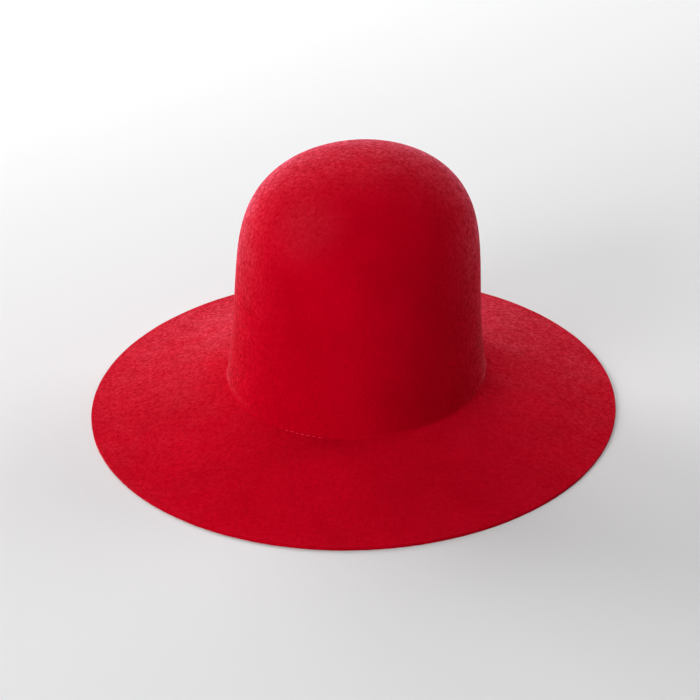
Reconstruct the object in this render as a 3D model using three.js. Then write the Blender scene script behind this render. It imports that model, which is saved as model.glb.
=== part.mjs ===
// A wide-brim felt hat, lying on the edge of its brim: an open domed crown and a broad brim blocked from one
// piece of wool felt, and a ribbon sweatband inside the foot of the crown.
// Millimetres, +Z up, the front of the hat towards -Y. The origin is on the surface that the hat rests on,
// under the middle of the brim.
import * as THREE from "three";

// Crown, measured outside
const CROWN_HALF_WIDTH = 86.8;
const CROWN_HALF_LENGTH = 100.7;
const CROWN_HEIGHT = 153.8;
const WALL_DRAW_IN = 0.248; // how fast the wall draws in above its foot, as a share of its width per height
const WALL_SPREAD = 0.247; // how much it spreads again towards the shoulder
const DOME_FULLNESS = 5.55; // higher is a squarer shoulder
const LEAN_LOW = 0.4; // the crown leans a little to one side: its shift per height near the foot
const LEAN_HIGH = 2.8; // and the part of its shift that grows towards the dome

// Brim
const FOOT_HEIGHT = 24.6; // where the crown meets the brim, above the surface
const BRIM_WIDTH_SIDE = 90.2;
const BRIM_WIDTH_END = 96.3;
const BRIM_HOLLOW = 1.15; // over 1, the brim is steeper by the crown than at its edge
const REST_WIDTH = 5; // the edge lies flat on the surface for this width
const REST_START = 1 - REST_WIDTH / BRIM_WIDTH_SIDE; // share of the brim's width where that flat begins
const CROWN_OFFSET = 1.6; // the crown stands this far to one side of the brim's middle
const CREASE_REACH = 1.5; // how far the crease at the foot reaches up the wall and out along the brim

// Walls
const FELT_THICKNESS = 2.2;
const BAND_THICKNESS = 1;
const BAND_HEIGHT = 32;
const BAND_GAP = 0.3; // between the sweatband and the felt

// Fineness of the mesh
const SEGMENTS = 64;
const CROWN_STEPS = 17;
const CREASE_STEPS = 4;
const BRIM_STEPS = 7;
const BAND_STEPS = 4;

// Looks
const FELT_RED = 0xbe0a26;
const FELT_ROUGHNESS = 0.95;
const RIBBON_RED = 0x8e0f20;
const RIBBON_ROUGHNESS = 0.7;

// Half width of the crown at a share of its height, 0 at the foot and 1 at the top of the dome.
function crownHalfWidth(share) {
  const wall = 1 - WALL_DRAW_IN * share + WALL_SPREAD * share ** 2;
  return CROWN_HALF_WIDTH * wall * Math.sqrt(Math.max(0, 1 - share ** DOME_FULLNESS));
}

function crownShift(share) {
  return CROWN_OFFSET + LEAN_LOW * share + LEAN_HIGH * share ** 2;
}

// The crown is longer than it is wide by the same share at each height.
function crownExtraLength(share) {
  return (CROWN_HALF_LENGTH / CROWN_HALF_WIDTH - 1) * crownHalfWidth(share);
}

// Outer side line of the crown, from the top of the dome at 0 to the foot at 1.
class CrownLine extends THREE.Curve {
  static heightShare(along) {
    return Math.cos((along * Math.PI) / 2);
  }

  getPoint(along) {
    const share = CrownLine.heightShare(along);
    return new THREE.Vector2(crownHalfWidth(share), FOOT_HEIGHT + share * CROWN_HEIGHT);
  }
}

// Upper side line of the brim, from the crown's foot at 0 to the cut edge at 1.
class BrimLine extends THREE.Curve {
  getPoint(across) {
    const rise = Math.max(0, 1 - across / REST_START) ** BRIM_HOLLOW;
    const drop = FOOT_HEIGHT - FELT_THICKNESS;
    return new THREE.Vector2(CROWN_HALF_WIDTH + across * BRIM_WIDTH_SIDE, FELT_THICKNESS + drop * rise);
  }
}

// A station is one oval ring of the hat: where its side line runs, how much longer than wide the ring is on
// each side, and how far its middle is shifted to the side.
function station(line, along, extraLength, shift) {
  const { x, y } = line.getPoint(along);
  const tangent = line.getTangent(along);
  return { halfWidth: x, height: y, normal: new THREE.Vector2(-tangent.y, tangent.x), extraLength, shift };
}

// The same ring on the other face of a wall of this thickness.
function inside(ring, thickness) {
  const halfWidth = Math.max(0, ring.halfWidth - thickness * ring.normal.x);
  return { ...ring, halfWidth, height: ring.height - thickness * ring.normal.y };
}

function crownStation(line, along) {
  const share = CrownLine.heightShare(along);
  return station(line, along, crownExtraLength(share), crownShift(share));
}

function brimStation(line, across) {
  const extraLength = CROWN_HALF_LENGTH - CROWN_HALF_WIDTH + (BRIM_WIDTH_END - BRIM_WIDTH_SIDE) * across;
  return station(line, across, extraLength, CROWN_OFFSET * (1 - across));
}

// Rings of the outer surface from the top of the dome, down the wall, round the crease and out to the edge.
function outerStations() {
  const crown = new CrownLine();
  const brim = new BrimLine();
  const creaseTop = (2 / Math.PI) * Math.acos(CREASE_REACH / CROWN_HEIGHT);
  const creaseEnd = CREASE_REACH / BRIM_WIDTH_SIDE;
  const corner = new THREE.Vector2(CROWN_HALF_WIDTH, FOOT_HEIGHT);
  const crease = new THREE.QuadraticBezierCurve(crown.getPoint(creaseTop), corner, brim.getPoint(creaseEnd));
  const rings = [];
  for (let i = 0; i <= CROWN_STEPS; i++) {
    rings.push(crownStation(crown, (creaseTop * i) / CROWN_STEPS));
  }
  for (let i = 1; i < CREASE_STEPS; i++) {
    rings.push(station(crease, i / CREASE_STEPS, CROWN_HALF_LENGTH - CROWN_HALF_WIDTH, CROWN_OFFSET));
  }
  for (let i = 0; i < BRIM_STEPS; i++) {
    rings.push(brimStation(brim, creaseEnd + ((REST_START - creaseEnd) * i) / BRIM_STEPS));
  }
  for (const across of [REST_START, 1]) {
    rings.push({ ...brimStation(brim, across), normal: new THREE.Vector2(0, 1) });
  }
  return rings;
}

// Turns the rings about the upright axis with LatheGeometry, then draws each one out to its own oval.
function ovalLathe(rings) {
  const profile = rings.map((ring) => new THREE.Vector2(ring.halfWidth, ring.height));
  const geometry = new THREE.LatheGeometry(profile, SEGMENTS);
  const position = geometry.getAttribute("position");
  for (let i = 0; i < position.count; i++) {
    const { halfWidth, height, extraLength, shift } = rings[i % rings.length];
    const turn = (2 * Math.PI * Math.floor(i / rings.length)) / SEGMENTS;
    const x = shift + halfWidth * Math.sin(turn);
    const y = -(halfWidth + extraLength) * Math.cos(turn);
    position.setXYZ(i, x, y, height);
  }
  geometry.computeVertexNormals();
  return geometry;
}

// Crown and brim: down inside the crown and out under the brim, then back over the cut edge to the top.
function feltBody() {
  const outer = outerStations();
  const inner = outer.map((ring) => inside(ring, FELT_THICKNESS));
  return ovalLathe([...inner, ...outer.reverse()]);
}

// Sweatband: an upright ring that follows the inside of the crown's wall from its foot.
function sweatband() {
  const crown = new CrownLine();
  const rings = [];
  for (let i = 0; i <= BAND_STEPS; i++) {
    const share = (BAND_HEIGHT * i) / (BAND_STEPS * CROWN_HEIGHT);
    rings.push(crownStation(crown, (2 / Math.PI) * Math.acos(share)));
  }
  const outerDepth = FELT_THICKNESS + BAND_GAP;
  const outer = rings.map((ring) => inside(ring, outerDepth));
  const inner = rings.map((ring) => inside(ring, outerDepth + BAND_THICKNESS)).reverse();
  return ovalLathe([...outer, ...inner, outer[0]]);
}

function piece(name, geometry, color, roughness) {
  const mesh = new THREE.Mesh(geometry, new THREE.MeshStandardMaterial({ color, roughness, metalness: 0 }));
  mesh.name = name;
  return mesh;
}

const group = new THREE.Group();
group.add(piece("felt_body", feltBody(), FELT_RED, FELT_ROUGHNESS));
group.add(piece("sweatband", sweatband(), RIBBON_RED, RIBBON_ROUGHNESS));
export default group;
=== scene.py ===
import math
from typing import NamedTuple

import bmesh
import bpy
from bpy.props import FloatProperty, FloatVectorProperty, IntProperty, PointerProperty
from mathutils import Matrix, Vector, noise


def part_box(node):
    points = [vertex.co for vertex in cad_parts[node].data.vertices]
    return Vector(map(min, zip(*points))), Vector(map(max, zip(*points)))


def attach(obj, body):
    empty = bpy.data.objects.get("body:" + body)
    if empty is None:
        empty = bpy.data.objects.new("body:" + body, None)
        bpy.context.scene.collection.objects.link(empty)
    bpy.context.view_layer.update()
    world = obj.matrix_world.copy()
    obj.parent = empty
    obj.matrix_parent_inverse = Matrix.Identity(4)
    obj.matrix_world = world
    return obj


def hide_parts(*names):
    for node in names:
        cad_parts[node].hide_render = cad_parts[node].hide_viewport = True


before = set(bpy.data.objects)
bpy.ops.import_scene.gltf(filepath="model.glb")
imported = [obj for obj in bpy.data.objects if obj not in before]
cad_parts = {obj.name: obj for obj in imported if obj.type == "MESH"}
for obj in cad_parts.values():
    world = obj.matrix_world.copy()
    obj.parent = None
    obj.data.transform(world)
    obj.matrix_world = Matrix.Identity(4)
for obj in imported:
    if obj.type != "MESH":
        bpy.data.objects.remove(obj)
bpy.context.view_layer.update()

bl_info = {
    "name": "Wide-brim felt hat",
    "version": (1, 0, 0),
    "blender": (4, 5, 0),
    "location": "3D Viewport > Sidebar > Hat",
    "description": "Makes a blocked wool felt hat with its sweatband, its stitching and a plain studio",
    "category": "Mesh",
}

# Lengths are in metres, and the front of the hat is towards -Y.
MM = 0.001
BODY = "root"
FELT_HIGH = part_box("felt_body")[1]
BAND_LOW, BAND_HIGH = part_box("sweatband")
FELT_PIECE = "felt_crown_and_brim"
BAND_PIECE = "ribbon_sweatband"


def linear(hex_colour):
    """A colour written as sRGB hex, as the linear red, green and blue that shaders read."""
    channels = [int(hex_colour[i : i + 2], 16) / 255 for i in (0, 2, 4)]
    return [c / 12.92 if c <= 0.04045 else ((c + 0.055) / 1.055) ** 2.4 for c in channels]


def length(name, description, default):
    return FloatProperty(name=name, description=description, default=default, unit="LENGTH", precision=5)


def share(name, description, default):
    return FloatProperty(name=name, description=description, default=default, precision=3)


def angle(name, description, degrees):
    return FloatProperty(name=name, description=description, default=math.radians(degrees), subtype="ANGLE")


def colour(name, description, hex_colour):
    return FloatVectorProperty(
        name=name, description=description, subtype="COLOR", min=0, max=1, default=linear(hex_colour)
    )


class FeltSettings(bpy.types.PropertyGroup):
    """Sizes and colours of the felt crown and brim"""

    crown_half_width: length("Crown half width", "Half of the crown's foot from side to side", 86.8 * MM)
    crown_half_length: length("Crown half length", "Half of the crown's foot from front to back", 100.7 * MM)
    foot_height: length("Foot height", "Height of the crown's foot over the surface", 24.6 * MM)
    top_height: length("Top height", "Height of the top of the dome", FELT_HIGH.z)
    wall_draw_in: share("Wall draw-in", "How fast the crown's wall draws in above its foot", 0.248)
    wall_spread: share("Wall spread", "How much the wall spreads again towards the shoulder", 0.247)
    dome_fullness: share("Dome fullness", "Higher is a squarer shoulder", 5.55)
    lean_low: length("Lean at the foot", "Sideways lean of the lower wall", 0.4 * MM)
    lean_high: length("Lean at the top", "Sideways lean that grows towards the dome", 2.8 * MM)
    crown_offset: length("Crown offset", "Crown's place to the side of the brim's middle", 1.6 * MM)
    brim_half_width: length("Brim half width", "Half of the brim from side to side", FELT_HIGH.x)
    brim_half_length: length("Brim half length", "Half of the brim from front to back", FELT_HIGH.y)
    brim_hollow: share("Brim hollow", "Over 1, the brim is steeper by the crown than at its edge", 1.15)
    rest_width: length("Rest width", "Width of the edge that lies flat on the surface", 1.2 * MM)
    crease_reach: length("Crease reach", "How far the crease reaches up the wall and the brim", 1.5 * MM)
    thickness: length("Felt thickness", "Thickness of the felt", 2.2 * MM)
    unevenness: length("Unevenness", "How far hand blocking leaves the felt from true", 0.25 * MM)
    edge_wander: length("Edge wander", "How far the blade wandered as it cut the brim", 0.25 * MM)
    deep_red: colour("Deep red", "Felt colour between the curls of the nap", "AE0016")
    bright_red: colour("Bright red", "Felt colour on the tips of the curls", "BC001B")
    sheen_tint: colour("Sheen", "Light that the nap catches at a low angle", "FF94A0")
    # Painted sheen and glint colour: the felt is painted lighter towards it where it turns from the eye, and
    # the rubbed spot takes it too
    painted_sheen_and_rub_red: colour("Fuzz", "Loose fibre ends where the felt turns away from the eye", "FA8EA6")


class BandSettings(bpy.types.PropertyGroup):
    """Sizes and colours of the sweatband and of the thread that sews it in"""

    thickness: length("Ribbon thickness", "Thickness of the sweatband's ribbon", 1 * MM)
    gap: length("Gap", "Room between the ribbon and the felt", 0.3 * MM)
    lap_width: length("Lap width", "Overlap of the ribbon's two ends at the back", 14 * MM)
    rib_pitch: length("Rib pitch", "Distance from one rib of the ribbon to the next", 1.1 * MM)
    seam_height: length("Seam height", "Height of the seam over the ribbon's lower edge", 3 * MM)
    stitch_pitch: length("Stitch pitch", "Distance from one stitch to the next", 3.8 * MM)
    stitch_length: length("Stitch length", "Length of a stitch", 2.6 * MM)
    thread_width: length("Thread width", "Thickness of the thread, drawn thick so that it shows", 0.5 * MM)
    sunk_depth: length("Sunk depth", "How deep the thread is pulled into the nap elsewhere", 0.27 * MM)
    loose_middle: angle("Loose stretch", "Middle of the loose stretch of thread, from the hat's front", -10)
    loose_span: angle("Loose span", "How far round the hat the loose stretch runs", 19)
    ribbon_red: colour("Ribbon", "Colour of the ribbon", "8E0F20")
    thread_red: colour("Thread", "Colour of the sewing thread", "E43048")


class StudioSettings(bpy.types.PropertyGroup):
    """The camera and the floor"""

    azimuth: angle("Azimuth", "Camera angle round the hat from its front", 9.633)
    elevation: angle("Elevation", "Camera angle above the surface", 26.386)
    distance: length("Distance", "From the camera to the point it looks at", 1.5)
    lens: FloatProperty(name="Lens", description="Focal length in mm on a 36 mm sensor", default=114.5)
    floor_grey: colour("Floor", "Colour of the paper floor", "DADADB")


# Shape of the hat


class Ring(NamedTuple):
    """One oval of the hat: its half sizes, its height and how far its middle is shifted to the side"""

    half_width: float
    half_length: float
    height: float
    shift: float


def crown_ring(felt, up):
    """The crown's outside at a share of its height, 0 at the foot and 1 at the top of the dome."""
    wall = 1 - felt.wall_draw_in * up + felt.wall_spread * up**2
    size = wall * math.sqrt(max(0.0, 1 - up**felt.dome_fullness))
    shift = felt.crown_offset + felt.lean_low * up + felt.lean_high * up**2
    height = felt.foot_height + up * (felt.top_height - felt.foot_height)
    return Ring(felt.crown_half_width * size, felt.crown_half_length * size, height, shift)


def rest_start(felt):
    """Share of the brim's width where its edge begins to lie flat."""
    return 1 - felt.rest_width / (felt.brim_half_width - felt.crown_half_width)


def brim_ring(felt, out):
    """The brim's upper side at a share of its width, 0 at the crown's foot and 1 at the cut edge."""
    rise = max(0.0, 1 - out / rest_start(felt)) ** felt.brim_hollow
    return Ring(
        felt.crown_half_width + out * (felt.brim_half_width - felt.crown_half_width),
        felt.crown_half_length + out * (felt.brim_half_length - felt.crown_half_length),
        felt.thickness + rise * (felt.foot_height - felt.thickness),
        felt.crown_offset * (1 - out),
    )


def inner_ring(ring, depth):
    return ring._replace(half_width=ring.half_width - depth, half_length=ring.half_length - depth)


def height_share(felt, height):
    """A height over the surface as a share of the crown's height."""
    return (height - felt.foot_height) / (felt.top_height - felt.foot_height)


def spaced_along(ring, pitch):
    """Evenly spaced places along an oval, each with the direction that the oval runs there."""
    divisions = 1440
    turns = [2 * math.pi * i / divisions for i in range(divisions + 1)]
    line = [
        Vector((ring.shift + ring.half_width * math.cos(t), ring.half_length * math.sin(t), ring.height))
        for t in turns
    ]
    lengths = [(b - a).length for a, b in zip(line, line[1:])]
    count = round(sum(lengths) / pitch)
    even = sum(lengths) / count
    places = []
    walked = 0.0
    for i, step in enumerate(lengths):
        if walked >= even * len(places) and len(places) < count:
            places.append((line[i], (line[i + 1] - line[i]).normalized()))
        walked += step
    return places


def only(kind, geometry):
    return [g for g in geometry if isinstance(g, kind)]


def loft(bm, rings, segments):
    """Extrudes an oval from ring to ring. Returns the vertices and edges of each ring."""
    made = bmesh.ops.create_circle(bm, segments=segments, radius=1.0)["verts"]
    edges = list(bm.edges)
    before = Ring(1.0, 1.0, 0.0, 0.0)
    loops = []
    for ring in rings:
        if loops:
            grown = bmesh.ops.extrude_edge_only(bm, edges=edges)["geom"]
            made = only(bmesh.types.BMVert, grown)
            new = set(made)
            edges = [e for e in only(bmesh.types.BMEdge, grown) if new.issuperset(e.verts)]
        stretch = (ring.half_width / before.half_width, ring.half_length / before.half_length, 1.0)
        bmesh.ops.scale(bm, vec=stretch, space=Matrix.Translation((-before.shift, 0, 0)), verts=made)
        step = (ring.shift - before.shift, 0, ring.height - before.height)
        bmesh.ops.translate(bm, vec=step, verts=made)
        loops.append((made, edges))
        before = ring
    return loops


def face_outwards(bm, top_face):
    """Turns an open shell so that this face of its top looks up."""
    bmesh.ops.recalc_face_normals(bm, faces=bm.faces)
    if top_face.normal.z < 0:
        bmesh.ops.reverse_faces(bm, faces=bm.faces)


def round_edges(piece, name, radius):
    """Rounds the sharp edges of a piece's wall."""
    edge = piece.modifiers.new(name, "BEVEL")
    edge.width = radius
    edge.segments = 2
    edge.limit_method = "ANGLE"
    edge.angle_limit = math.radians(50)


def finished(bm, name, materials, slot, *replaced):
    """Makes the object, gives it its materials and ties it to the frame."""
    for face in bm.faces:
        face.smooth = True
    mesh = bpy.data.meshes.new(name)
    bm.to_mesh(mesh)
    bm.free()
    for material in materials:
        mesh.materials.append(material)
    piece = bpy.data.objects.new(name, mesh)
    bpy.context.scene.collection.objects.link(piece)
    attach(piece, BODY)
    if replaced:
        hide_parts(*replaced)
    return piece


# Materials


def new_material(name):
    material = bpy.data.materials.new(name)
    material.use_nodes = True
    material.node_tree.nodes.clear()
    return material


def add_node(material, kind, inputs=None, **settings):
    """Adds a node, sets its settings, and sets or links each input that is named."""
    tree = material.node_tree
    node = tree.nodes.new(kind)
    for name, value in settings.items():
        setattr(node, name, value)
    for socket, value in (inputs or {}).items():
        if isinstance(value, bpy.types.NodeSocket):
            tree.links.new(value, node.inputs[socket])
        else:
            node.inputs[socket].default_value = value
    return node


def colour_output(mix_node):
    """The colour result of a Mix node, which has one result for each kind of data."""
    return next(s for s in mix_node.outputs if s.type == "RGBA" and s.enabled)


def rgba(linear_colour):
    return (*linear_colour, 1.0)


def per_metre(size):
    """Scale of a texture whose features are this long."""
    return 1 / size


# Sizes of what shows in the felt. A wool fibre is about 0.02 mm thick, too fine to show, so the nap is drawn
# as coarse as it needs to show: as the curls and tufts that many fibres make together.
CURL_SIZE = 2.5 * MM
CURL_RELIEF = 0.35 * MM
TUFT_SIZE = 0.9 * MM
TUFT_RELIEF = 0.25 * MM
DYE_CLOUD_SIZE = 38 * MM
# Size of the patches in the painted sheen
SHEEN_PATCH_SIZE = 24 * MM

# The felt's tone comes from its clouds of dye by this share, and from its curls by the rest.
CLOUD_SHARE = 0.65

# A noise's values lie mostly between 0.3 and 0.7. Each span is the part of them that is drawn out to the
# full range, and for standing tufts it is the highest part, so that only a few of them stand out.
TONE_SPAN = (0.32, 0.68)
CURL_SPAN = (0.3, 0.7)
# Span of the noise that makes the patches in the painted sheen
SHEEN_PATCH_SPAN = (0.35, 0.65)
STANDING_TUFT_SPAN = (0.62, 0.76)

# Painted sheen, as loose fibre ends would give it: how far the felt is painted lighter where it turns away,
# from 0 to 1. It grows from the wall's share at the dome's start to the dome's own, and what the brim adds
# fades out just above the crown's foot.
WALL_PAINTED_SHEEN = 0.08
DOME_PAINTED_SHEEN = 0.4
DOME_START = 85 * MM
DOME_FULL = 145 * MM
BRIM_PAINTED_SHEEN = 0.22
BRIM_FULL = 20 * MM
BRIM_END = 30 * MM
# How narrowly the painted sheen keeps to where the felt turns away from the eye
PAINTED_SHEEN_FALL_OFF = 4.0
# How much weaker and stronger the painted sheen is in its patches
SHEEN_PATCH_RANGE = (0.75, 1.25)
# How much more painted sheen and rubbed nap stand on the tips of the curls
CURL_SHEEN_AND_RUB = 0.6
# Painted glints on single standing tufts
PAINTED_TUFT_GLINT = 0.3
# Painted shade and highlight on the curls at a low angle
PAINTED_CURL_SHADE = 0.48

# Where fingers take hold of the crown, at its front, they have rubbed the nap up a little
RUBBED_SPOT = (-20 * MM, -68 * MM, 155 * MM)
RUBBED_REACH = 36 * MM
RUBBED_MIDDLE = 4 * MM
RUBBED_FUZZ = 0.02

# Sheen of the brushed nap, and of the cut edge, where the blade has laid the fibres bare
NAP_SHEEN = 0.2
CUT_SHEEN = 0.1


def wool_felt(felt, name, sheen):
    """Wool felt, blocked over steam and lightly brushed: matt, with a pebbled nap of short curled fibres."""
    material = new_material(name)
    place = add_node(material, "ShaderNodeTexCoord").outputs["Object"]
    curled = {"Vector": place, "Detail": 2.0, "Roughness": 0.6, "Distortion": 0.6}
    curled["Scale"] = per_metre(CURL_SIZE)
    curl = add_node(material, "ShaderNodeTexNoise", curled).outputs["Fac"]
    tufted = {"Vector": place, "Detail": 2.0, "Roughness": 0.7, "Distortion": 0.6}
    tufted["Scale"] = per_metre(TUFT_SIZE)
    tuft = add_node(material, "ShaderNodeTexNoise", tufted).outputs["Fac"]
    curl_rise = {"Height": curl, "Strength": 1.0, "Distance": CURL_RELIEF}
    curl_relief = add_node(material, "ShaderNodeBump", curl_rise).outputs["Normal"]
    tuft_rise = {"Height": tuft, "Strength": 0.8, "Distance": TUFT_RELIEF, "Normal": curl_relief}
    relief = add_node(material, "ShaderNodeBump", tuft_rise).outputs["Normal"]
    dyed = dyed_red(material, felt, place, curl)
    surface = {
        "Base Color": red_with_painted_sheen_and_rub(material, felt, place, dyed, curl, tuft),
        "Roughness": 0.92,
        "Specular IOR Level": 0.0,
        "Sheen Weight": sheen,
        "Sheen Roughness": 0.15,
        "Sheen Tint": rgba(felt.sheen_tint),
        "Normal": relief,
    }
    shader = add_node(material, "ShaderNodeBsdfPrincipled", surface).outputs["BSDF"]
    add_node(material, "ShaderNodeOutputMaterial", {"Surface": shader})
    return material


def dyed_red(material, felt, place, curl):
    """The dyed wool: deeper between the curls, and in soft clouds where it took more of the dye."""
    clouded = {"Vector": place, "Scale": per_metre(DYE_CLOUD_SIZE), "Detail": 2.0, "Roughness": 0.5}
    cloud = add_node(material, "ShaderNodeTexNoise", clouded).outputs["Fac"]
    both = {"Factor": CLOUD_SHARE, "A": curl, "B": cloud}
    mixed = add_node(material, "ShaderNodeMix", both, data_type="FLOAT").outputs["Result"]
    low, high = TONE_SPAN
    spread = {"Value": mixed, "From Min": low, "From Max": high}
    tone = add_node(material, "ShaderNodeMapRange", spread).outputs["Result"]
    reds = {"Factor": tone, "A": rgba(felt.deep_red), "B": rgba(felt.bright_red)}
    return colour_output(add_node(material, "ShaderNodeMix", reds, data_type="RGBA"))


def red_with_painted_sheen_and_rub(material, felt, place, dyed, curl, tuft):
    """The dyed wool, painted lighter towards the sheen colour where it turns from the eye, with painted
    glints and painted shade on the curls there, and the rubbed spot.
    """
    facing = add_node(material, "ShaderNodeLayerWeight", {"Blend": 0.5}).outputs["Facing"]
    squared = {0: facing, 1: 2.0}
    turned = add_node(material, "ShaderNodeMath", squared, operation="POWER").outputs["Value"]
    low, high = CURL_SPAN
    spread = {"Value": curl, "From Min": low, "From Max": high, "To Min": -1.0, "To Max": 1.0}
    curl_height = add_node(material, "ShaderNodeMapRange", spread).outputs["Result"]
    # The painted sheen and the rubbed nap are thicker on the tips of the curls
    thicker = {0: curl_height, 1: CURL_SHEEN_AND_RUB, 2: 1.0}
    on_curls = add_node(material, "ShaderNodeMath", thicker, operation="MULTIPLY_ADD").outputs["Value"]
    brushed = {0: painted_sheen_and_rubbed_nap(material, place, facing), 1: on_curls}
    painted_sheen_and_rub = add_node(material, "ShaderNodeMath", brushed, operation="MULTIPLY").outputs["Value"]
    # Painted glints: single tufts that stand out, painted lighter where the felt turns from the eye
    low, high = STANDING_TUFT_SPAN
    standing = {"Value": tuft, "From Min": low, "From Max": high, "To Min": 0.0, "To Max": PAINTED_TUFT_GLINT}
    tuft_glint = add_node(material, "ShaderNodeMapRange", standing).outputs["Result"]
    summed = {0: tuft_glint, 1: turned, 2: painted_sheen_and_rub}
    all_painted_sheen_and_rub = add_node(material, "ShaderNodeMath", summed, operation="MULTIPLY_ADD").outputs["Value"]
    reds = {"Factor": all_painted_sheen_and_rub, "A": dyed, "B": rgba(felt.painted_sheen_and_rub_red)}
    red_and_painted_sheen = colour_output(add_node(material, "ShaderNodeMix", reds, data_type="RGBA"))
    # Painted shade and highlight on the curls: tips lighter and hollows darker, the more so the lower the
    # angle
    shading = {0: turned, 1: PAINTED_CURL_SHADE}
    shade = add_node(material, "ShaderNodeMath", shading, operation="MULTIPLY").outputs["Value"]
    lightened = {0: curl_height, 1: shade, 2: 1.0}
    value = add_node(material, "ShaderNodeMath", lightened, operation="MULTIPLY_ADD").outputs["Value"]
    return add_node(material, "ShaderNodeHueSaturation", {"Color": red_and_painted_sheen, "Value": value}).outputs["Color"]


def painted_sheen_and_rubbed_nap(material, place, facing):
    """Painted sheen where the felt turns from the eye: most on the dome and least on the wall, with the
    brim's own share low down, uneven in patches, plus the rubbed spot.
    """
    height = add_node(material, "ShaderNodeSeparateXYZ", {"Vector": place}).outputs["Z"]
    rising = {"Value": height, "From Min": DOME_START, "From Max": DOME_FULL}
    rising.update({"To Min": WALL_PAINTED_SHEEN, "To Max": DOME_PAINTED_SHEEN})
    dome = add_node(material, "ShaderNodeMapRange", rising).outputs["Result"]
    fading = {"Value": height, "From Min": BRIM_FULL, "From Max": BRIM_END}
    fading.update({"To Min": BRIM_PAINTED_SHEEN, "To Max": 0.0})
    brim = add_node(material, "ShaderNodeMapRange", fading).outputs["Result"]
    painted_sheen_by_height = add_node(material, "ShaderNodeMath", {0: dome, 1: brim}).outputs["Value"]
    steep = {0: facing, 1: PAINTED_SHEEN_FALL_OFF}
    edge = add_node(material, "ShaderNodeMath", steep, operation="POWER").outputs["Value"]
    at_edge = {0: edge, 1: painted_sheen_by_height}
    even = add_node(material, "ShaderNodeMath", at_edge, operation="MULTIPLY").outputs["Value"]
    sheen_patch_settings = {"Vector": place, "Detail": 1.0, "Roughness": 0.5, "Distortion": 1.0}
    sheen_patch_settings["Scale"] = per_metre(SHEEN_PATCH_SIZE)
    sheen_patch_noise = add_node(material, "ShaderNodeTexNoise", sheen_patch_settings).outputs["Fac"]
    low, high = SHEEN_PATCH_SPAN
    thin, thick = SHEEN_PATCH_RANGE
    patches = {"Value": sheen_patch_noise, "From Min": low, "From Max": high, "To Min": thin, "To Max": thick}
    patchy = add_node(material, "ShaderNodeMapRange", patches).outputs["Result"]
    uneven = {0: even, 1: patchy}
    brushed = add_node(material, "ShaderNodeMath", uneven, operation="MULTIPLY").outputs["Value"]
    apart = {0: place, 1: RUBBED_SPOT}
    far = add_node(material, "ShaderNodeVectorMath", apart, operation="DISTANCE").outputs["Value"]
    near = {"Value": far, "From Min": RUBBED_REACH, "From Max": RUBBED_MIDDLE}
    near.update({"To Min": 0.0, "To Max": RUBBED_FUZZ})
    rubbed = add_node(material, "ShaderNodeMapRange", near, interpolation_type="SMOOTHSTEP").outputs["Result"]
    return add_node(material, "ShaderNodeMath", {0: brushed, 1: rubbed}).outputs["Value"]


# Ribbon and thread: how far their ribs, yarns and plies stand out, and how coarse the last two are drawn
RIB_RELIEF = 0.16 * MM
YARN_SIZE = 0.5 * MM
YARN_RELIEF = 0.1 * MM
PLY_SIZE = 0.35 * MM
PLY_RELIEF = 0.08 * MM


def grosgrain(band, radius):
    """Grosgrain ribbon: dyed rayon woven over thick cords, which give it upright ribs and a soft gleam."""
    material = new_material("woven_grosgrain_ribbon")
    place = add_node(material, "ShaderNodeTexCoord").outputs["Object"]
    axes = add_node(material, "ShaderNodeSeparateXYZ", {"Vector": place}).outputs
    flat = {0: axes["Y"], 1: axes["X"]}
    turn = add_node(material, "ShaderNodeMath", flat, operation="ARCTAN2").outputs["Value"]
    ribs = round(radius * 2 * math.pi / band.rib_pitch)
    phase = add_node(material, "ShaderNodeMath", {0: turn, 1: ribs}, operation="MULTIPLY").outputs["Value"]
    rib = add_node(material, "ShaderNodeMath", {0: phase}, operation="SINE").outputs["Value"]
    weave = {"Vector": place, "Scale": per_metre(YARN_SIZE), "Detail": 2.0, "Roughness": 0.6}
    yarn = add_node(material, "ShaderNodeTexNoise", weave).outputs["Fac"]
    rib_rise = {"Height": rib, "Strength": 0.8, "Distance": RIB_RELIEF}
    rib_relief = add_node(material, "ShaderNodeBump", rib_rise).outputs["Normal"]
    yarn_rise = {"Height": yarn, "Strength": 0.4, "Distance": YARN_RELIEF, "Normal": rib_relief}
    relief = add_node(material, "ShaderNodeBump", yarn_rise).outputs["Normal"]
    surface = {"Base Color": rgba(band.ribbon_red), "Roughness": 0.55, "Specular IOR Level": 0.35}
    surface["Normal"] = relief
    shader = add_node(material, "ShaderNodeBsdfPrincipled", surface).outputs["BSDF"]
    add_node(material, "ShaderNodeOutputMaterial", {"Surface": shader})
    return material


def sewing_thread(band):
    """Spun sewing thread: dyed a little lighter than the felt, so its stitches show, and almost matt."""
    material = new_material("spun_sewing_thread")
    place = add_node(material, "ShaderNodeTexCoord").outputs["Object"]
    twist = {"Vector": place, "Scale": per_metre(PLY_SIZE), "Detail": 1.0, "Roughness": 0.5}
    ply = add_node(material, "ShaderNodeTexNoise", twist).outputs["Fac"]
    rise = {"Height": ply, "Strength": 0.5, "Distance": PLY_RELIEF}
    relief = add_node(material, "ShaderNodeBump", rise).outputs["Normal"]
    surface = {"Base Color": rgba(band.thread_red), "Roughness": 0.7, "Specular IOR Level": 0.1}
    surface["Normal"] = relief
    shader = add_node(material, "ShaderNodeBsdfPrincipled", surface).outputs["BSDF"]
    add_node(material, "ShaderNodeOutputMaterial", {"Surface": shader})
    return material


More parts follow.
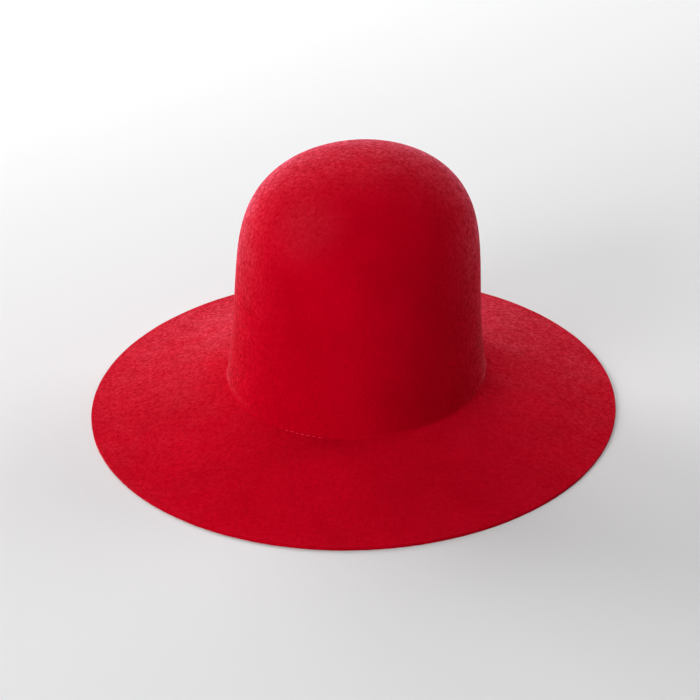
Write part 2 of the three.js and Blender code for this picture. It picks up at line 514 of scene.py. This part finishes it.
def floor_paper(studio):
    """Matt studio paper: pale and even, with soft shadows and no reflections."""
    material = new_material("matt_white_paper")
    surface = {"Base Color": rgba(studio.floor_grey), "Roughness": 0.9, "Specular IOR Level": 0.1}
    shader = add_node(material, "ShaderNodeBsdfPrincipled", surface).outputs["BSDF"]
    add_node(material, "ShaderNodeOutputMaterial", {"Surface": shader})
    return material


# Pieces

# How the felt is off true: the length of its waves, the height over the resting edge by which they are full,
# and the length of the cut edge's waves
FELT_WAVE = 55 * MM
FELT_WAVE_FULL = 6 * MM
EDGE_WAVE = 9 * MM
CUT_EDGE_RADIUS = 0.4 * MM
RIBBON_EDGE_RADIUS = 0.3 * MM


class HAT_OT_felt(bpy.types.Operator):
    """Crown and brim, blocked from one piece of wool felt"""

    bl_idname = "hat.felt"
    bl_label = "Felt crown and brim"

    segments: IntProperty(name="Segments", description="Faces round the hat", default=144, min=32)
    crown_steps: IntProperty(name="Crown steps", description="Rings from foot to dome", default=34, min=8)
    brim_steps: IntProperty(name="Brim steps", description="Rings across the brim", default=16, min=4)

    def execute(self, context):
        felt = context.scene.hat_felt
        bm = bmesh.new()
        outs = [rest_start(felt) * i / self.brim_steps for i in range(self.brim_steps, 0, -1)]
        brim = [brim_ring(felt, out) for out in (1.0, *outs)]
        ups = [math.sin(math.pi / 2 * i / self.crown_steps) for i in range(self.crown_steps)]
        crown = [crown_ring(felt, up) for up in ups]
        loops = loft(bm, brim + crown, self.segments)
        foot_edges = loops[len(brim)][1]
        top = crown_ring(felt, 1.0)
        bmesh.ops.pointmerge(bm, verts=loops[-1][0], merge_co=(top.shift, 0, top.height))
        face_outwards(bm, max(bm.faces, key=lambda face: face.calc_center_median().z))
        bmesh.ops.bevel(
            bm, geom=foot_edges, offset=felt.crease_reach, offset_type="OFFSET", segments=4, profile=0.5,
            affect="EDGES", material=-1,
        )
        self.shape_by_hand(bm, felt)
        nap = wool_felt(felt, "blocked_wool_felt", NAP_SHEEN)
        cut = wool_felt(felt, "cut_wool_felt", CUT_SHEEN)
        piece = finished(bm, FELT_PIECE, [nap, cut], "wool_felt", "felt_body")
        self.thicken(piece, felt)
        return {"FINISHED"}

    def shape_by_hand(self, bm, felt):
        """Moves the felt off true by a little, as blocking does, and lets the cut edge wander."""
        bm.normal_update()
        for vert in bm.verts:
            over_rest = min(1.0, max(0.0, (vert.co.z - felt.thickness) / FELT_WAVE_FULL))
            vert.co += vert.normal * (felt.unevenness * over_rest * noise.noise(vert.co / FELT_WAVE))
        for vert in bm.verts:
            if vert.is_boundary:
                out = Vector((vert.co.x, vert.co.y, 0)).normalized()
                # Half a unit less than the noise, so that the edge wanders inwards, within its CAD outline
                vert.co += out * (felt.edge_wander * (noise.noise(vert.co / EDGE_WAVE) - 0.5))

    def thicken(self, piece, felt):
        wall = piece.modifiers.new("felt thickness", "SOLIDIFY")
        wall.thickness = felt.thickness
        wall.offset = -1
        wall.use_even_offset = True
        wall.material_offset_rim = 1
        round_edges(piece, "softened cut edge", CUT_EDGE_RADIUS)
        smooth = piece.modifiers.new("smooth felt", "SUBSURF")
        smooth.levels = smooth.render_levels = 1


class HAT_OT_sweatband(bpy.types.Operator):
    """Ribbon sweatband inside the foot of the crown"""

    bl_idname = "hat.sweatband"
    bl_label = "Ribbon sweatband"

    segments: IntProperty(name="Segments", description="Faces round the band", default=144, min=32)
    steps: IntProperty(name="Steps", description="Faces up the band", default=6, min=1)

    def execute(self, context):
        felt = context.scene.hat_felt
        band = context.scene.hat_band
        bm = bmesh.new()
        depth = felt.thickness + band.gap
        rise = (BAND_HIGH.z - BAND_LOW.z) / self.steps
        heights = [BAND_LOW.z + rise * i for i in range(self.steps + 1)]
        rings = [crown_ring(felt, height_share(felt, max(z, felt.foot_height))) for z in heights]
        rings = [inner_ring(ring, depth)._replace(height=z) for ring, z in zip(rings, heights)]
        loft(bm, rings, self.segments)
        bmesh.ops.recalc_face_normals(bm, faces=bm.faces)
        front = min(bm.faces, key=lambda face: face.calc_center_median().y)
        if front.normal.y > 0:
            bmesh.ops.reverse_faces(bm, faces=bm.faces)
        self.lap_ends(bm, band)
        radius = (rings[0].half_width + rings[0].half_length) / 2
        piece = finished(bm, BAND_PIECE, [grosgrain(band, radius)], "grosgrain_ribbon", "sweatband")
        wall = piece.modifiers.new("ribbon thickness", "SOLIDIFY")
        wall.thickness = band.thickness
        wall.offset = -1
        round_edges(piece, "rolled ribbon edge", RIBBON_EDGE_RADIUS)
        return {"FINISHED"}

    def lap_ends(self, bm, band):
        """Lays the ribbon's end over its beginning, on the inside at the back of the head."""
        back = [
            face for face in bm.faces
            if face.calc_center_median().y > 0 and abs(face.calc_center_median().x) < band.lap_width / 2
        ]
        made = bmesh.ops.duplicate(bm, geom=back)["geom"]
        bmesh.ops.translate(bm, vec=(0, -band.thickness, 0), verts=only(bmesh.types.BMVert, made))


class HAT_OT_stitches(bpy.types.Operator):
    """The seam that holds the sweatband: one row in the crease outside and one row along the ribbon inside"""

    bl_idname = "hat.stitches"
    bl_label = "Sweatband seam"

    slant: angle("Slant", "Turn of a stitch from the seam", 9)

    def execute(self, context):
        felt = context.scene.hat_felt
        band = context.scene.hat_band
        stitch = self.stitch(band)
        bm = bmesh.new()
        foot = crown_ring(felt, 0.0)
        crease = inner_ring(foot, -felt.crease_reach / 2)
        self.row(bm, band, stitch, crease, FELT_PIECE, self.pulled_in)
        # The lower ring is clear of the ribbon, so the nearest cloth is its inner face, also where it laps
        depth = felt.thickness + band.gap + 3 * band.thickness
        lower = inner_ring(foot, depth)._replace(height=BAND_LOW.z + band.seam_height)
        self.row(bm, band, stitch, lower, BAND_PIECE, self.half_sunk)
        bpy.data.meshes.remove(stitch)
        finished(bm, "sweatband_seam", [sewing_thread(band)], "grosgrain_ribbon")
        return {"FINISHED"}

    def stitch(self, band):
        """One stitch along X: a short length of thread that tapers into the cloth at both ends."""
        bm = bmesh.new()
        shape = Matrix.Diagonal((band.stitch_length, band.thread_width, band.thread_width, 1))
        turn = Matrix.Rotation(self.slant, 4, "Z")
        bmesh.ops.create_uvsphere(bm, u_segments=8, v_segments=6, radius=0.5, matrix=turn @ shape)
        mesh = bpy.data.meshes.new("stitch")
        bm.to_mesh(mesh)
        bm.free()
        return mesh

    def pulled_in(self, band, place):
        """Depth of the outside thread: none in the middle half of its loose stretch, full beyond its ends."""
        turn = math.atan2(place.x, -place.y)
        off = abs(turn - band.loose_middle) / (band.loose_span / 2)
        return band.sunk_depth * min(1.0, max(0.0, off - 0.5) * 2)

    def half_sunk(self, band, place):
        """Depth of the inside thread, which lies with its middle on the face of the ribbon all round."""
        return 0.0

    def row(self, bm, band, stitch, ring, cloth_name, depth_at):
        """Lays a row of stitches on the nearest surface of a piece of cloth."""
        cloth = bpy.data.objects[cloth_name].evaluated_get(bpy.context.evaluated_depsgraph_get())
        for place, along in spaced_along(ring, band.stitch_pitch):
            hit, seat, up, face = cloth.closest_point_on_mesh(place)
            side = up.cross(along).normalized()
            axes = Matrix((side.cross(up), side, up)).transposed().to_4x4()
            one = stitch.copy()
            one.transform(Matrix.Translation(seat - up * depth_at(band, place)) @ axes)
            bm.from_mesh(one)
            bpy.data.meshes.remove(one)


# Studio

# The point the camera looks at, near the foot of the crown
CAMERA_AIM = (-3.0 * MM, -0.9 * MM, 37.9 * MM)

# Soft lights round the hat: angle from its front and elevation, both in degrees, and power in watts
SOFTBOX_DISTANCE = 2.2
SOFTBOX_SIZE = 1.2
SOFTBOXES = (
    ("left_softbox", -120.4, 20, 37.8),
    ("back_left_softbox", -155.4, 35, 18.5),
    ("front_left_softbox", -30.4, 20, 30),
    ("front_softbox", 9.6, 35, 4.4),
    ("right_softbox", 129.6, 35, 15),
    ("top_softbox", 0, 90, 11.6),
)

# The floor behind the hat, and the ring of lights over it
FLOOR_REACH = 12.0
FLOOR_LIGHT_COUNT = 8
FLOOR_LIGHT_RING = 4.4
FLOOR_LIGHT_HEIGHT = 3.5
FLOOR_LIGHT_SIZE = 2.0
FLOOR_LIGHT_SPREAD = math.radians(90)
FLOOR_LIGHT_POWER = 60


def direction(azimuth, elevation):
    """Unit vector towards a viewer or light at this angle round the hat from its front."""
    flat = math.cos(elevation)
    return Vector((math.sin(azimuth) * flat, -math.cos(azimuth) * flat, math.sin(elevation)))


def soft_light(scene, name, size, power):
    """A round soft light that shines straight down until it is turned."""
    data = bpy.data.lights.new(name, "AREA")
    data.shape = "DISK"
    data.size = size
    data.energy = power
    light = bpy.data.objects.new(name, data)
    scene.collection.objects.link(light)
    return light


class HAT_OT_studio(bpy.types.Operator):
    """Paper floor, soft lights and the camera"""

    bl_idname = "hat.studio"
    bl_label = "Studio"

    def execute(self, context):
        studio = context.scene.hat_studio
        self.floor(context.scene, studio)
        self.dark_air(context.scene)
        self.lights(context.scene)
        self.floor_lights(context.scene)
        self.camera(context.scene, studio)
        context.scene.view_settings.view_transform = "Standard"
        return {"FINISHED"}

    def floor(self, scene, studio):
        bm = bmesh.new()
        bmesh.ops.create_grid(bm, x_segments=1, y_segments=1, size=FLOOR_REACH)
        mesh = bpy.data.meshes.new("paper_floor")
        bm.to_mesh(mesh)
        bm.free()
        mesh.materials.append(floor_paper(studio))
        floor = bpy.data.objects.new("paper_floor", mesh)
        scene.collection.objects.link(floor)

    def dark_air(self, scene):
        """The air gives no light of its own, so the lamps alone shade the hat."""
        world = bpy.data.worlds.new("studio_air")
        world.use_nodes = True
        world.node_tree.nodes["Background"].inputs["Strength"].default_value = 0.0
        scene.world = world

    def lights(self, scene):
        for name, azimuth, elevation, power in SOFTBOXES:
            light = soft_light(scene, name, SOFTBOX_SIZE, power)
            back = direction(math.radians(azimuth), math.radians(elevation))
            light.location = back * SOFTBOX_DISTANCE
            light.rotation_euler = back.to_track_quat("Z", "Y").to_euler()

    def floor_lights(self, scene):
        """A ring of lights that shine straight down, clear of the hat, so the floor behind it is pale."""
        for i in range(FLOOR_LIGHT_COUNT):
            light = soft_light(scene, f"floor_softbox_{i + 1}", FLOOR_LIGHT_SIZE, FLOOR_LIGHT_POWER)
            light.data.spread = FLOOR_LIGHT_SPREAD
            light.location = direction(2 * math.pi * i / FLOOR_LIGHT_COUNT, 0) * FLOOR_LIGHT_RING
            light.location.z = FLOOR_LIGHT_HEIGHT

    def camera(self, scene, studio):
        data = bpy.data.cameras.new("camera")
        data.lens = studio.lens
        data.sensor_width = 36
        camera = bpy.data.objects.new("camera", data)
        back = direction(studio.azimuth, studio.elevation)
        camera.location = Vector(CAMERA_AIM) + back * studio.distance
        camera.rotation_euler = back.to_track_quat("Z", "Y").to_euler()
        scene.collection.objects.link(camera)
        scene.camera = camera


class HAT_PT_sidebar(bpy.types.Panel):
    """The hat's pieces and their sizes"""

    bl_idname = "HAT_PT_sidebar"
    bl_label = "Wide-brim felt hat"
    bl_space_type = "VIEW_3D"
    bl_region_type = "UI"
    bl_category = "Hat"

    def draw(self, context):
        for operator in PIECES:
            self.layout.operator(operator)
        for settings in (context.scene.hat_felt, context.scene.hat_band, context.scene.hat_studio):
            box = self.layout.box()
            for name in settings.bl_rna.properties.keys():
                if name not in ("rna_type", "name"):
                    box.prop(settings, name)


# Operators in the order in which they run
PIECES = ("hat.felt", "hat.sweatband", "hat.stitches", "hat.studio")

CLASSES = (
    FeltSettings,
    BandSettings,
    StudioSettings,
    HAT_OT_felt,
    HAT_OT_sweatband,
    HAT_OT_stitches,
    HAT_OT_studio,
    HAT_PT_sidebar,
)


def register():
    for cls in CLASSES:
        bpy.utils.register_class(cls)
    bpy.types.Scene.hat_felt = PointerProperty(type=FeltSettings)
    bpy.types.Scene.hat_band = PointerProperty(type=BandSettings)
    bpy.types.Scene.hat_studio = PointerProperty(type=StudioSettings)


def unregister():
    del bpy.types.Scene.hat_studio
    del bpy.types.Scene.hat_band
    del bpy.types.Scene.hat_felt
    for cls in reversed(CLASSES):
        bpy.utils.unregister_class(cls)


def main():
    register()
    bpy.ops.hat.felt()
    bpy.ops.hat.sweatband()
    bpy.ops.hat.stitches()
    bpy.ops.hat.studio()


if __name__ == "__main__":
    main()
